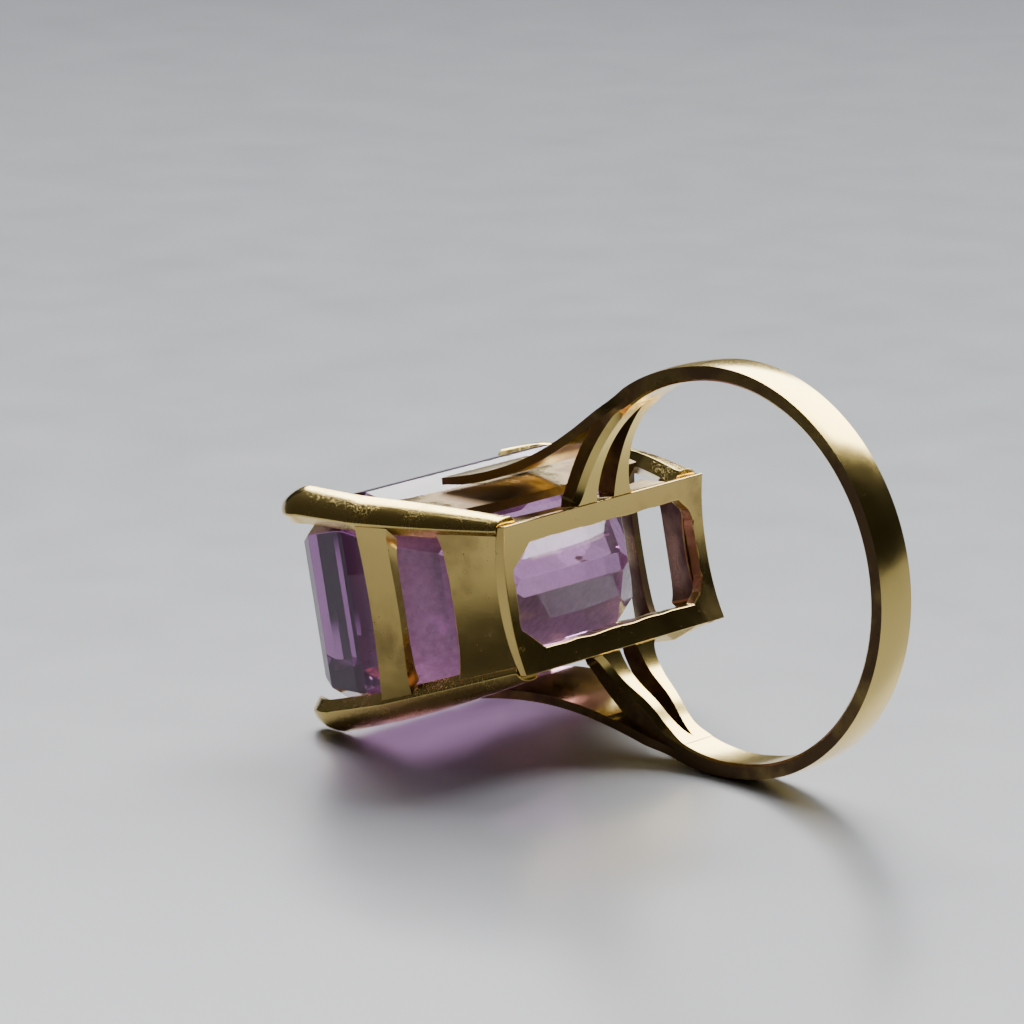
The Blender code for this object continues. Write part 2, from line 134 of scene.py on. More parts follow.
class RingFinish(PropertyGroup):
    """Colours and surface qualities."""

    gold: FloatVectorProperty(name="Gold", description="Clean metal", subtype="COLOR", size=3,
                              default=(0.77, 0.585, 0.18), min=0.0, max=1.0)
    solder: FloatVectorProperty(name="Solder", description="Redder metal at the joints",
                                subtype="COLOR", size=3, default=(0.62, 0.32, 0.16), min=0.0, max=1.0)
    tarnish: FloatVectorProperty(name="Tarnish", description="Brown film in the hollows",
                                 subtype="COLOR", size=3, default=(0.16, 0.10, 0.05), min=0.0, max=1.0)
    gold_roughness: FloatProperty(name="Gold roughness", description="Polish of the clean metal",
                                  default=0.14, min=0.0, max=1.0, subtype="FACTOR")
    stone: FloatVectorProperty(name="Stone", description="Colour that the stone lets through",
                               subtype="COLOR", size=3, default=(0.72, 0.38, 0.70), min=0.0, max=1.0)
    stone_depth: FloatProperty(name="Stone depth", description="Strength of colour per metre",
                               default=95.0, min=0.0)
    floor: FloatVectorProperty(name="Floor", description="Pale table top", subtype="COLOR", size=3,
                               default=(0.35, 0.36, 0.385), min=0.0, max=1.0)


# ---------------------------------------------------------------- outlines

def mix(a, b, share):
    """The value that lies a share of the way from a to b."""
    return a + (b - a) * share


def unit(vectors):
    """The same vectors, each of length one."""
    return vectors / np.linalg.norm(vectors, axis=-1, keepdims=True)


def smooth(share):
    """An ease from 0 to 1, flat at both ends: 3 t squared minus 2 t cubed."""
    share = np.clip(share, 0.0, 1.0)
    return share * share * (3.0 - 2.0 * share)


def hole_point(angle, offset=0.0):
    """Points (x, z) of the finger hole: a superellipse in front and an ellipse behind, by the
    angle in degrees from the head, moved outwards along its normal by an offset."""
    turn = np.radians(np.asarray(angle, float))
    sine, cosine = np.sin(turn), np.cos(turn)
    front = cosine >= 0.0
    depth = np.where(front, HOLE_FRONT, HOLE_BACK)
    power = np.where(front, HOLE_SQUARENESS, 2.0)
    across = np.sign(sine) * np.abs(sine) ** (2.0 / power)
    along = np.sign(cosine) * np.abs(cosine) ** (2.0 / power)
    normal = unit(np.stack([np.sign(across) * np.abs(across) ** (power - 1.0) / HOLE_HALF_WIDTH,
                            np.sign(along) * np.abs(along) ** (power - 1.0) / depth], -1))
    return (np.stack([HOLE_HALF_WIDTH * across, depth * along], -1)
            + normal * np.asarray(offset)[..., None])


def hole_height(x):
    """Height of the front of the finger hole at a distance x from the centre line."""
    share = np.abs(np.asarray(x, float)) / HOLE_HALF_WIDTH
    return HOLE_FRONT * (1.0 - share ** HOLE_SQUARENESS) ** (1.0 / HOLE_SQUARENESS)


def plate_top(x):
    """Height of the upper face of the base plate."""
    near = np.minimum(np.abs(x), PLATE_WIDTH)
    return hole_height(near) + PLATE_THICKNESS + PLATE_RISE * (1.0 - (near / PLATE_WIDTH) ** 2)


FOOT_ANGLE = float(np.degrees(np.arcsin(((PLATE_WIDTH + JOINT_GAP) / HOLE_HALF_WIDTH)
                                        ** (HOLE_SQUARENESS / 2.0))))


def claw_edges(z, rear=False):
    """The claw's outer edges at heights z, as (end x, end y, side x, side y): straight lines
    between the base, the widest station and the shoulder, then the square of the share on to the
    tip. They bow outwards as 4 t (1 - t) below the widest station, and a rear claw tapers."""
    z = np.asarray(z, float)
    plate, stone = (PLATE_WIDTH, PLATE_LENGTH) * 2, (STONE_WIDTH, STONE_LENGTH) * 2
    stations = (CLAW_BASE, CLAW_WIDEST, CLAW_SHOULDER)
    base = np.add(plate, (-0.22, 0.10, 0.30, -1.02))
    widest = np.add(stone, (-0.98, 0.65, 0.05, -0.70))
    shoulder = np.add(stone, (-0.58, 0.18, 0.60, -1.05))
    tip = np.add(stone, (-0.55, -0.85, -0.15, -1.55))
    edges = np.stack([np.interp(z, stations, (a, b, c))
                      for a, b, c in zip(base, widest, shoulder)], -1)
    over = np.clip((z - CLAW_SHOULDER) / (CLAW_TIP - CLAW_SHOULDER), 0.0, 1.0)[..., None] ** 2
    edges = mix(edges, tip, over)
    share = np.clip((z - CLAW_BASE) / (CLAW_WIDEST - CLAW_BASE), 0.0, 1.0)
    bow = CLAW_BOW * 4.0 * share * (1.0 - share)
    edges = edges + bow[..., None] * np.array((0.0, 1.0, 0.5, 1.0))
    if rear:
        taper = TAPER_SHARE * np.clip((z - TAPER_START) / TAPER_LENGTH, 0.0, 1.0)[..., None]
        edges = np.concatenate([edges[..., :2], mix(edges[..., 2:], edges[..., :2], taper)], -1)
    return edges


def end_wall(z):
    """Distance of the outer face of the end rails from the middle of the ring."""
    return claw_edges(z)[..., 1] - END_SET_BACK


def side_wall(z):
    """Distance of the outer face of the side rails from the middle of the ring."""
    return claw_edges(z)[..., 2] - SIDE_SET_BACK


def ribbon_path(share, thickness):
    """Points (x, z) on the outside of the ribbon: a cubic Bezier curve from the seam to its tip."""
    start = hole_point(SEAM_ANGLE, SEAM_THICKNESS)
    tip_height = UPPER_TOP - 0.05
    tip = np.array((side_wall(tip_height) + JOINT_GAP + thickness, tip_height))
    rise = tip[1] - start[1]
    first = start + np.array((-0.175, 0.295)) * rise
    second = tip + np.array((-0.003, -0.482)) * rise
    t = np.asarray(share, float)[..., None]
    return (start * (1 - t) ** 3 + 3 * first * (1 - t) ** 2 * t
            + 3 * second * (1 - t) * t ** 2 + tip * t ** 3)


def sideways(path, distance):
    """The line of points (x, z) moved to the left of its direction."""
    ahead = unit(np.gradient(path, axis=0))
    return path + np.stack([-ahead[:, 1], ahead[:, 0]], -1) * np.asarray(distance)[..., None]


# ---------------------------------------------------------------- meshes

def skin(rings, around=False):
    """Quads between rings of points, with a flat cap at each end unless the rings close up."""
    rings = np.asarray(rings, float)
    count, size = rings.shape[:2]
    ring = np.arange(count if around else count - 1)[:, None]
    place_in = np.arange(size)[None, :]
    ahead, beside = (ring + 1) % count, (place_in + 1) % size
    quads = np.stack([ring * size + place_in, ring * size + beside,
                      ahead * size + beside, ahead * size + place_in], -1).reshape(-1, 4)
    faces = quads.tolist()
    if not around:
        faces += [list(range(size))[::-1], list(range((count - 1) * size, count * size))]
    return rings.reshape(-1, 3), faces


def joined(*parts):
    """Several (points, faces) pairs as one."""
    points, faces, start = [], [], 0
    for part_points, part_faces in parts:
        points.append(part_points)
        faces += [[index + start for index in face] for face in part_faces]
        start += len(part_points)
    return np.concatenate(points), faces


def place(points):
    """Points in the ring's own axes, in millimetres, carried to the frame, in metres."""
    face_up = np.array(MOUNTS["claw_tips"]["axis"], float)
    along = np.array(MOUNTS["finger_hole"]["axis"], float)
    axes = np.stack([np.cross(along, face_up), along, face_up])
    return np.asarray(points) * MM @ axes + np.array(MOUNTS["finger_hole"]["pos_m"], float)


def finished(name, shape, material, node, rounding=0.0, flat=False, segments=3, edging=None,
             shaded_sides=None):
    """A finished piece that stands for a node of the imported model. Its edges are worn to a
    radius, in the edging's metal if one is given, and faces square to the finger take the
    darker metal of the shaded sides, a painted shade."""
    points, faces = shape
    mesh = bpy.data.meshes.new(name)
    mesh.from_pydata(place(points).tolist(), [], faces)
    builder = bmesh.new()
    builder.from_mesh(mesh)
    bmesh.ops.remove_doubles(builder, verts=builder.verts, dist=1e-7)
    bmesh.ops.recalc_face_normals(builder, faces=builder.faces)
    builder.to_mesh(mesh)
    builder.free()
    if not flat:
        mesh.shade_smooth()
        mesh.set_sharp_from_angle(angle=np.radians(CREASE_ANGLE))
    made = bpy.data.objects.new(name, mesh)
    bpy.context.scene.collection.objects.link(made)
    mesh.materials.append(material)
    # Faces square to the finger get the darker sides' metal: a painted shade.
    if shaded_sides:
        mesh.materials.append(shaded_sides)
        normals = np.empty(len(mesh.polygons) * 3)
        mesh.polygons.foreach_get("normal", normals)
        facing = (np.abs(normals.reshape(-1, 3)[:, 1]) > SIDE_FACE).astype(np.int32)
        mesh.polygons.foreach_set("material_index", facing)
    if rounding:
        worn = made.modifiers.new("worn_edges", "BEVEL")
        worn.width = rounding
        worn.segments = segments
        worn.limit_method = "ANGLE"
        worn.angle_limit = np.radians(CREASE_ANGLE)
        worn.harden_normals = not flat
        worn.use_clamp_overlap = True
        if edging:
            mesh.materials.append(edging)
            worn.material = 1
    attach(made, "root")
    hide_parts(node)
    return made


# ---------------------------------------------------------------- materials

class Value:
    """One output in a node tree, so that shader sums read as sums."""

    def __init__(self, nodes, output):
        self.nodes, self.output = nodes, output

    def _sum(self, operation, first, second):
        return self.nodes.add("ShaderNodeMath", {"operation": operation}, in_0=first, in_1=second)

    def __add__(self, other):
        return self._sum("ADD", self, other)

    def __radd__(self, other):
        return self._sum("ADD", other, self)

    def __sub__(self, other):
        return self._sum("SUBTRACT", self, other)

    def __rsub__(self, other):
        return self._sum("SUBTRACT", other, self)

    def __mul__(self, other):
        return self._sum("MULTIPLY", self, other)

    def __rmul__(self, other):
        return self._sum("MULTIPLY", other, self)

    def ramp(self, low, high):
        """0 below low, 1 above high and a smooth step between."""
        return self.nodes.add("ShaderNodeMapRange", {"interpolation_type": "SMOOTHSTEP"}, "Result",
                              Value=self, From_Min=low, From_Max=high)


class Nodes:
    """A node tree, with the one way in which a node is added to it."""

    def __init__(self, tree):
        self.tree = tree

    def add(self, kind, settings=None, output=0, **inputs):
        """The output of a new node. Its settings are made first, then its sockets are filled: by
        name, with _ for a space, or by number after in_."""
        node = self.tree.nodes.new(kind)
        for key, value in (settings or {}).items():
            setattr(node, key, value)
        for key, value in inputs.items():
            named = int(key[3:]) if key.startswith("in_") else key.replace("_", " ")
            self.link(value, node.inputs[named])
        return Value(self, node.outputs[output])

    def link(self, value, socket):
        """Puts a number, a colour or a link into a socket."""
        if isinstance(value, Value):
            self.tree.links.new(value.output, socket)
        else:
            socket.default_value = value


class Recipe(Nodes):
    """A material and the nodes that make it."""

    def __init__(self, name):
        self.material = bpy.data.materials.new(name)
        self.material.use_nodes = True
        super().__init__(self.material.node_tree)
        self.shader = self.tree.nodes["Principled BSDF"]
        self.surface = self.tree.nodes["Material Output"]
        self.place = self.add("ShaderNodeTexCoord", output="Object")

    def feed(self, name, value):
        """Fills a socket of the main shader."""
        self.link(value, self.shader.inputs[name])

    def noise(self, scale, detail=3.0, rough=0.5, stretch=None, turn=(0.0, 0.0, 0.0)):
        """Cloudy noise, 0 to 1, with scale in features per metre and an optional stretch."""
        where = self.place
        if stretch:
            where = self.add("ShaderNodeMapping", {"vector_type": "POINT"}, "Vector",
                             Vector=where, Rotation=turn, Scale=stretch)
        return self.add("ShaderNodeTexNoise", {"noise_dimensions": "3D"}, "Fac",
                        Vector=where, Scale=scale, Detail=detail, Roughness=rough)

    def blend(self, share, first, second):
        """Colour that goes from first to second with the share."""
        return self.add("ShaderNodeMix", {"data_type": "RGBA", "blend_type": "MIX"}, 2,
                        in_0=share, in_6=first, in_7=second)

    def bump(self, height, strength, distance, normal=None):
        """A normal tilted by a height, in metres at full strength."""
        inputs = {"Height": height, "Strength": strength, "Distance": distance}
        if normal is not None:
            inputs["Normal"] = normal
        return self.add("ShaderNodeBump", None, "Normal", **inputs)


def scratches(recipe, turn, scale, width, share):
    """Fine straight scratches in one direction: long stretched noise cut to a thin band."""
    lines = recipe.noise(scale, 1.0, 0.5, (1.0, 1.0, 0.02), turn)
    patches = recipe.noise(scale * 0.12, 2.0)
    thin = 1.0 - ((lines - 0.5) * (1.0 / width)).ramp(0.0, 1.0)
    deep = ((lines - 0.5) * (1.0 / width)).ramp(-1.0, 0.0)
    return thin * deep * patches.ramp(1.0 - share - 0.12, 1.0 - share + 0.12)


def gold_metal(name, finish, scratched, dirt, warmth, depth=1.0):
    """Worn yellow gold: clean metal with a warmer cast in clouds, brown film in patches and fine
    scratches. A depth below 1 darkens the metal's colour, a painted shade."""
    recipe = Recipe(name)
    cloud = recipe.noise(260.0, 4.0, 0.55)
    speck = recipe.noise(5200.0, 2.0, 0.6)
    film = cloud.ramp(0.62 - 0.25 * dirt, 0.85 - 0.25 * dirt) * dirt
    spots = speck.ramp(0.70, 0.76) * dirt
    # Depth scales both colours down: below 1 it is a painted shade.
    clean, warm = (tuple(part * depth for part in colour) + (1.0,)
                   for colour in (finish.gold, finish.solder))
    gold = recipe.blend(recipe.noise(90.0, 2.0) * warmth, clean, warm)
    tarnished = recipe.blend(film, gold, (*finish.tarnish, 1.0))
    recipe.feed("Base Color", recipe.blend(spots, tarnished, (*finish.tarnish, 1.0)))
    lines = (scratches(recipe, (0.3, 0.9, 0.2), 5200.0, 0.020, scratched)
             + scratches(recipe, (1.2, -0.5, 0.8), 6800.0, 0.018, scratched)
             + scratches(recipe, (-0.4, 0.2, 1.5), 4300.0, 0.016, scratched * 0.8))
    recipe.feed("Roughness", finish.gold_roughness + film * 0.35 + spots * 0.4 + lines * 0.25
                + recipe.noise(900.0, 3.0) * 0.10)
    recipe.feed("Metallic", 1.0)
    hammer = recipe.bump(recipe.noise(420.0, 2.0), 0.35, 0.00004)
    grain = recipe.bump(recipe.noise(9000.0, 3.0), 0.10, 0.000006, hammer)
    recipe.feed("Normal", recipe.bump(1.0 - lines, 0.5, 0.000010, grain))
    return recipe.material


def solder_metal(name, finish):
    """Redder, duller metal of the soldered joints."""
    recipe = Recipe(name)
    cloud = recipe.noise(1500.0, 3.0)
    recipe.feed("Base Color", recipe.blend(cloud.ramp(0.4, 0.7), (*finish.solder, 1.0),
                                           (*finish.gold, 1.0)))
    recipe.feed("Metallic", 1.0)
    recipe.feed("Roughness", 0.22 + cloud * 0.2)
    recipe.feed("Normal", recipe.bump(recipe.noise(3000.0, 3.0), 0.4, 0.00002))
    return recipe.material


def stone_glass(name, finish):
    """Violet quartz: clear, deep in colour, with a dusty film on the facets below the girdle. The
    stone's shadow is a plain tint, so that light comes through it."""
    recipe = Recipe(name)
    zone = recipe.noise(150.0, 2.0)
    recipe.feed("Base Color", recipe.blend(zone.ramp(0.35, 0.7), (0.80, 0.63, 0.82, 1.0),
                                           (0.72, 0.53, 0.77, 1.0)))
    recipe.feed("Transmission Weight", 1.0)
    recipe.feed("IOR", QUARTZ_IOR)
    dust = recipe.noise(2600.0, 4.0, 0.65)
    recipe.feed("Roughness", dust.ramp(0.60, 0.80) * 0.12)
    inside = recipe.add("ShaderNodeVolumeAbsorption", Color=(*finish.stone, 1.0),
                        Density=finish.stone_depth)
    recipe.link(inside, recipe.surface.inputs["Volume"])
    coat = (0.90, 0.73, 0.87, 1.0)
    film = recipe.add("ShaderNodeMixShader", in_1=recipe.add("ShaderNodeBsdfDiffuse", Color=coat),
                      in_2=recipe.add("ShaderNodeBsdfTranslucent", Color=coat))
    face_up, middle = MOUNTS["claw_tips"]["axis"], MOUNTS["finger_hole"]["pos_m"]
    height = recipe.add("ShaderNodeVectorMath", {"operation": "DOT_PRODUCT"}, "Value",
                        in_0=recipe.place, in_1=tuple(face_up)) - float(np.dot(face_up, middle))
    under = 1.0 - height.ramp(*FILM_HEIGHTS)
    thickness = (dust.ramp(0.30, 0.80) * 0.14 + 0.26) * under + 0.01
    dusty = recipe.add("ShaderNodeMixShader", in_0=thickness,
                       in_1=Value(recipe, recipe.shader.outputs[0]), in_2=film)
    shadow = recipe.add("ShaderNodeBsdfTransparent", Color=(0.27, 0.22, 0.275, 1.0))
    shaded = recipe.add("ShaderNodeLightPath", output="Is Shadow Ray")
    choice = recipe.add("ShaderNodeMixShader", in_0=shaded, in_1=dusty, in_2=shadow)
    recipe.link(choice, recipe.surface.inputs["Surface"])
    return recipe.material


def floor_finish(name, finish):
    """Pale, faintly glossy table top with slight cloudiness."""
    recipe = Recipe(name)
    cloud = recipe.noise(22.0, 3.0)
    pale = tuple(finish.floor)
    recipe.feed("Base Color", recipe.blend(cloud, (*(c * 0.93 for c in pale), 1.0), (*pale, 1.0)))
    recipe.feed("Roughness", 0.26 + recipe.noise(160.0, 3.0) * 0.10)
    recipe.feed("Specular IOR Level", 0.5)
    return recipe.material


def shared(name, maker, finish, **qualities):
    """A material made the first time that it is asked for."""
    return bpy.data.materials.get(name) or maker(name, finish, **qualities)


def polished(finish):
    """Bright gold of the band's and shoulders' faces."""
    return shared("polished_gold", gold_metal, finish, scratched=0.20, dirt=0.18, warmth=0.10)


def dull(finish):
    """Warmer, duller gold of the base plate and the front rails."""
    return shared("basket_gold", gold_metal, finish, scratched=0.22, dirt=0.50, warmth=0.30)


def shaded_filmed(finish):
    """Dark gold under a brown film, its colour cut to 0.42 as a painted shade."""
    return shared("shaded_filmed_gold", gold_metal, finish, scratched=0.30, dirt=1.10, warmth=0.45,
                  depth=0.42)


def scuffed(finish):
    """Gold of the claws, with the most scratches."""
    return shared("claw_gold", gold_metal, finish, scratched=0.44, dirt=0.30, warmth=0.12)


# ---------------------------------------------------------------- shapes

def band_shape(sizes):
    """The band: an open loop of sections round the back of the hole. Each section runs flat
    across the inside, up a small chamfer, and back over an outside that rises as 1 - y squared."""
    half = sizes.band_width / MM / 2.0
    margin = np.degrees(JOINT_GAP / HOLE_HALF_WIDTH) * 0.6
    angles = np.linspace(SEAM_ANGLE + margin, 360.0 - SEAM_ANGLE - margin, 181)
    past = np.minimum(angles, 360.0 - angles) - SEAM_ANGLE
    swell = np.clip(1.0 - past / SEAM_SWELL, 0.0, 1.0) ** 1.5
    thick = mix(sizes.band_thickness / MM, SEAM_THICKNESS, swell)
    across = np.linspace(-1.0, 1.0, 9)
    inner = np.stack([across * (half - BAND_CHAMFER), np.zeros(9),
                      BAND_INNER_CROWN * (1.0 - across ** 2)], -1)
    chamfer = np.array([(half, 0.0, BAND_CHAMFER)])
    outer = np.stack([-across * half, np.ones(9),
                      sizes.band_crown / MM * (1.0 - across ** 2)], -1)
    section = np.concatenate([inner, chamfer, outer, chamfer * (-1.0, 1.0, 1.0)])
    offset = section[None, :, 1] * thick[:, None] + section[None, :, 2]
    point = hole_point(np.repeat(angles[:, None], len(section), 1), offset)
    rings = np.stack([point[..., 0], np.broadcast_to(section[:, 0], offset.shape), point[..., 1]], -1)
    return skin(rings)


def shoulder_shape(sizes, side):
    """A shoulder: sections from the seam to the crotch, with a groove down the inside that
    deepens to a slot, then a ribbon to the head's side and two legs to the base plate."""
    ribbon_thick, leg_thick = sizes.ribbon_thickness / MM, sizes.leg_thickness / MM
    dense = np.linspace(0.0, 1.0, 400)
    heights = ribbon_path(dense, ribbon_thick)[:, 1]
    crotch_share = float(np.interp(CROTCH_HEIGHT, heights, dense))
    root_z, tip_z = heights[0], heights[-1]

    def leg_half(angle):
        """Half width of the legs: by the square of the way down, and flared at the foot."""
        foot = np.exp(-(angle - FOOT_ANGLE) / 1.3) * 0.16
        return mix(*LEG_HALF_WIDTHS, ((SEAM_ANGLE - angle) / (SEAM_ANGLE - FOOT_ANGLE)) ** 2) + foot

    def ribbon_half(z):
        """Half width of the ribbon: by the 0.7 power of the way up."""
        return mix(*RIBBON_HALF_WIDTHS, np.clip((z - root_z) / (tip_z - root_z), 0.0, 1.0) ** 0.7)

    def slot_half(angle):
        """Half width of the slot: widest at the foot, closed by the 2.4 power of the way back."""
        share = np.clip((angle - FOOT_ANGLE) / (SLOT_END - FOOT_ANGLE), 0.0, 1.0)
        return SLOT_HALF_WIDTH * (1.0 - 0.95 * share ** 2.4)

    def sunk(angle):
        """How far the right legs stand inside the hole's outline: a bell curve over the angle."""
        bell = np.exp(-((angle - SUNK_ANGLE) / SUNK_SPREAD) ** 2)
        return SUNK_DEPTH * bell if side < 0.0 else 0.0 * angle

    def at(point, y):
        """The point (x, z) on this side of the ring, at a distance y along the finger."""
        return np.stack([side * point[..., 0], y * np.ones(point.shape[:-1]), point[..., 1]], -1)

    run = np.linspace(0.0, 1.0, 25)
    angle = mix(SEAM_ANGLE + 0.04, CROTCH_ANGLE, run)
    inside = hole_point(angle, -sunk(angle))
    thick = mix(SEAM_THICKNESS * 0.5, leg_thick, smooth(run * 1.6))
    back = hole_point(angle, thick)
    groove = hole_point(angle, mix(-sunk(angle), thick, smooth((60.5 - angle) / 16.0)))
    worn = mix(*LIP_RISES, smooth(run * 2.5))
    lip = hole_point(angle, worn - sunk(angle))
    outside = ribbon_path(run * crotch_share, ribbon_thick)
    under = sideways(outside, np.full(len(run), ribbon_thick))
    half, slot, wide = leg_half(angle), slot_half(angle), ribbon_half(outside[:, 1])
    wide = mix(1.005, wide, smooth(run * 2.2))
    mid_low, mid_high = mix(half, wide, 0.25 - 0.25 * run), mix(half, wide, 0.75 + 0.25 * run)
    root = np.stack([at(lip, -half), at(inside, -half + worn * 0.75), at(inside, -slot),
                     at(groove, -slot * 0.92), at(groove, slot * 0.92), at(inside, slot),
                     at(inside, half - worn * 0.75), at(lip, half), at(back, mid_low),
                     at(under, mid_high), at(outside, wide), at(outside, -wide),
                     at(under, -mid_high), at(back, -mid_low)], 1)

    tip = np.linspace(crotch_share, 1.0, 37)
    outside = ribbon_path(tip, ribbon_thick)
    # The ribbon thins to four fifths of its thickness where it lies on the upper rail.
    under = sideways(outside, ribbon_thick * mix(1.0, 0.8, smooth((tip - 0.9) / 0.1)))
    wide = ribbon_half(outside[:, 1])
    ribbon = np.stack([at(under, wide), at(outside, wide), at(outside, wide * 0.5),
                       at(outside, wide * 0.0), at(outside, -wide * 0.5), at(outside, -wide),
                       at(under, -wide), at(under, wide * 0.0)], 1)

    legs = []
    fall = mix(CROTCH_ANGLE, FOOT_ANGLE, run)
    inside, lip = hole_point(fall, -sunk(fall)), hole_point(fall, LIP_RISES[1] - sunk(fall))
    back = hole_point(fall, leg_thick)
    foot_z = back[-1, 1]
    back[-1, 0] = max(PLATE_WIDTH + JOINT_GAP, float(side_wall(foot_z)) + JOINT_GAP)
    half, slot = leg_half(fall), slot_half(fall)
    for end in (-1.0, 1.0):
        legs.append(skin(np.stack([at(inside, end * slot), at(inside, end * (half - LIP_WIDTH)),
                                   at(lip, end * half), at(back, end * half),
                                   at(back, end * slot * 0.92)], 1)))
    return joined(skin(root), skin(ribbon), *legs)


def base_plate_shape():
    """The base plate: a loop of sections that goes round between the outer edge and the window's
    edge, its heights taken from the curve of the finger hole. The window's edge is uneven, as
    sawn: its distance from the middle changes by three sines of the turn."""
    wide, long, cut = WINDOW_WIDTH, WINDOW_LENGTH, WINDOW_CHAMFER
    inner = [(wide, 0.0), (wide, long - cut), (wide - cut * 0.5, long - cut * 0.42),
             (wide - cut, long), (0.0, long)]
    outer = [(PLATE_WIDTH, 0.0), (PLATE_WIDTH, long - cut), (PLATE_WIDTH, PLATE_LENGTH),
             (wide - cut, PLATE_LENGTH), (0.0, PLATE_LENGTH)]
    share = np.linspace(0.0, 4.0, 41)
    quarter = [np.stack([np.interp(share, range(5), [p[axis] for p in line]) for axis in (0, 1)], -1)
               for line in (inner, outer)]
    loops = []
    for line in quarter:
        back = line[::-1]
        loops.append(np.concatenate([line[:-1], (back * (-1, 1))[:-1], (line * (-1, -1))[:-1],
                                     (back * (1, -1))[:-1]]))
    inner, outer = loops
    turn = np.arctan2(inner[:, 1], inner[:, 0])
    ragged = (1.0 + 0.010 * np.sin(7.0 * turn + 0.6) + 0.008 * np.sin(17.0 * turn)
              + 0.004 * np.sin(31.0 * turn))
    inner = inner * ragged[:, None]

    def low(line):
        """The line laid on the finger hole's curve."""
        return np.concatenate([line, hole_height(line[:, :1])], 1)

    def high(line):
        """The line laid on the plate's upper face."""
        return np.concatenate([line, plate_top(line[:, :1])], 1)

    between = [mix(outer, inner, share) for share in (0.25, 0.5, 0.75)]
    rings = np.stack([low(outer), high(outer), *map(high, between), high(inner), low(inner),
                      *map(low, between[::-1])], 1)
    return skin(rings, around=True)


def rail_shape(wall, ends, bottom, top, thickness, seat, on_plate, lengthways):
    """A rail: sections across the gap between two claws, cut to the claws' slanted faces. Its
    outer face is hollow by one minus the share squared, and its free edges flare near the claws
    by the seventh power of the share, like a fillet at each end. Each section is a list of depths
    behind the wall and heights, and a seat slopes inwards from a narrow lip."""
    share = np.linspace(-1.0, 1.0, 41)
    fillet = RAIL_FILLET * np.abs(share) ** 7
    if seat:
        levels = [(0.0, bottom), (0.0, top), (SEAT_LIP, top), (thickness, top - SEAT_DEPTH),
                  (thickness, bottom)]
    else:
        levels = [(0.0, bottom), (0.0, top), (thickness, top), (thickness, bottom)]
    columns = []
    for depth, level in levels:
        z = np.full(len(share), level)
        out = wall(level) - depth
        low, high = ends(level, out)
        span = np.where(share < 0.0, -share * low, share * high)
        if on_plate and level == bottom:
            z = plate_top(np.full(len(share), out) if lengthways else span) + JOINT_GAP
        elif level == bottom:
            z = z - fillet
        elif not seat:
            z = z + fillet
        hollow = RAIL_HOLLOW * (1.0 - share ** 2) if depth == 0.0 else 0.0
        columns.append(np.stack([span, (out - hollow) * np.ones(len(share)), z], -1))
    return skin(np.stack(columns, 1))


def end_rail_shape(end, bottom, top, thickness, seat, on_plate):
    """An end rail, across the head."""
    def ends(level, out):
        """Where the rail meets the inner slants of the two claws."""
        edges = claw_edges(level)
        reach = edges[0] - (edges[1] - out) - JOINT_GAP
        return -reach, reach

    points, faces = rail_shape(end_wall, ends, bottom, top, thickness, seat, on_plate, False)
    return points * (1.0, end, 1.0), faces


def side_rail_shape(side, bottom, top, thickness, seat, on_plate):
    """A side rail, along the head. The lower ones stand all but flush with the plate's edge."""
    def wall(z):
        return np.minimum(side_wall(z), PLATE_WIDTH + SIDE_LOWER_PROUD) if on_plate else side_wall(z)

    def ends(level, out):
        """Where the rail meets the inner slants of the front and rear claws."""
        front, rear = claw_edges(level), claw_edges(level, True)
        return (-(front[3] - (front[2] - out) - JOINT_GAP), rear[3] - (rear[2] - out) - JOINT_GAP)

    points, faces = rail_shape(wall, ends, bottom, top, thickness, seat, on_plate, True)
    return points[:, (1, 0, 2)] * (side, 1.0, 1.0), faces


def claw_shape(sizes, side, end):
    """A claw: sections up the corner. Each is a strip set square to the corner, whose outside
    rises as 4 t (1 - t) over its width t from 0 to 1. The edges draw in above the shoulder as
    the claw folds over the stone. The rear right claw's base is drawn in behind the band."""
    z = np.concatenate([np.linspace(CLAW_BASE, CLAW_SHOULDER, 48)[:-1],
                        np.linspace(CLAW_SHOULDER, CLAW_TIP, 18)])
    edges = claw_edges(z, end > 0)
    if end > 0 > side:
        edges[:, 2] -= TUCK_DEPTH * np.clip((TUCK_TOP - z) / (TUCK_TOP - CLAW_BASE), 0.0, 1.0)
    outer_end, outer_side = edges[:, None, :2], edges[:, None, 2:]
    t = np.linspace(0.0, 1.0, 9)[None, :, None]
    square = np.array((1.0, 1.0)) / np.sqrt(2.0)
    bulge = sizes.claw_bulge / MM * 4.0 * t * (1.0 - t)
    outside = mix(outer_end, outer_side, t) + bulge * square
    inside = mix(outer_side, outer_end, t) - sizes.claw_thickness / MM * square
    flat = np.concatenate([outside, inside], 1)
    rings = np.concatenate([flat, np.broadcast_to(z[:, None, None], flat.shape[:2] + (1,))], -1)
    rings[0, :, 2] = plate_top(rings[0, :, 0]) + JOINT_GAP
    return skin(rings * (side, end, 1.0))


def stone_shape():
    """The stone: eight-sided outlines from the keel up to the table, joined by flat facets. Each
    has a height, a half width, a half length and the share of its full corner cut."""
    levels = [(10.4, 0.42, 3.7, 0.20), (11.5, 1.75, 4.85, 0.42), (12.7, 3.15, 6.0, 0.66),
              (14.9, 4.30, 7.55, 0.90), (16.6, 5.2, 8.15, 1.0), (17.2, 5.2, 8.13, 1.0),
              (19.3, 4.95, 7.75, 0.95), (20.2, 4.45, 7.2, 0.85), (20.95, 3.3, 6.2, 0.7)]
    rings = []
    for z, x, y, corner in levels:
        cut_x, cut_y = min(1.45 * corner, x * 0.9), min(1.97 * corner, y * 0.9)
        ring = []
        for x_side, y_side in ((1, 1), (-1, 1), (-1, -1), (1, -1)):
            pair = [(x_side * x, y_side * (y - cut_y), z), (x_side * (x - cut_x), y_side * y, z)]
            ring += pair if x_side == y_side else pair[::-1]
        rings.append(ring)
    return skin(np.array(rings))


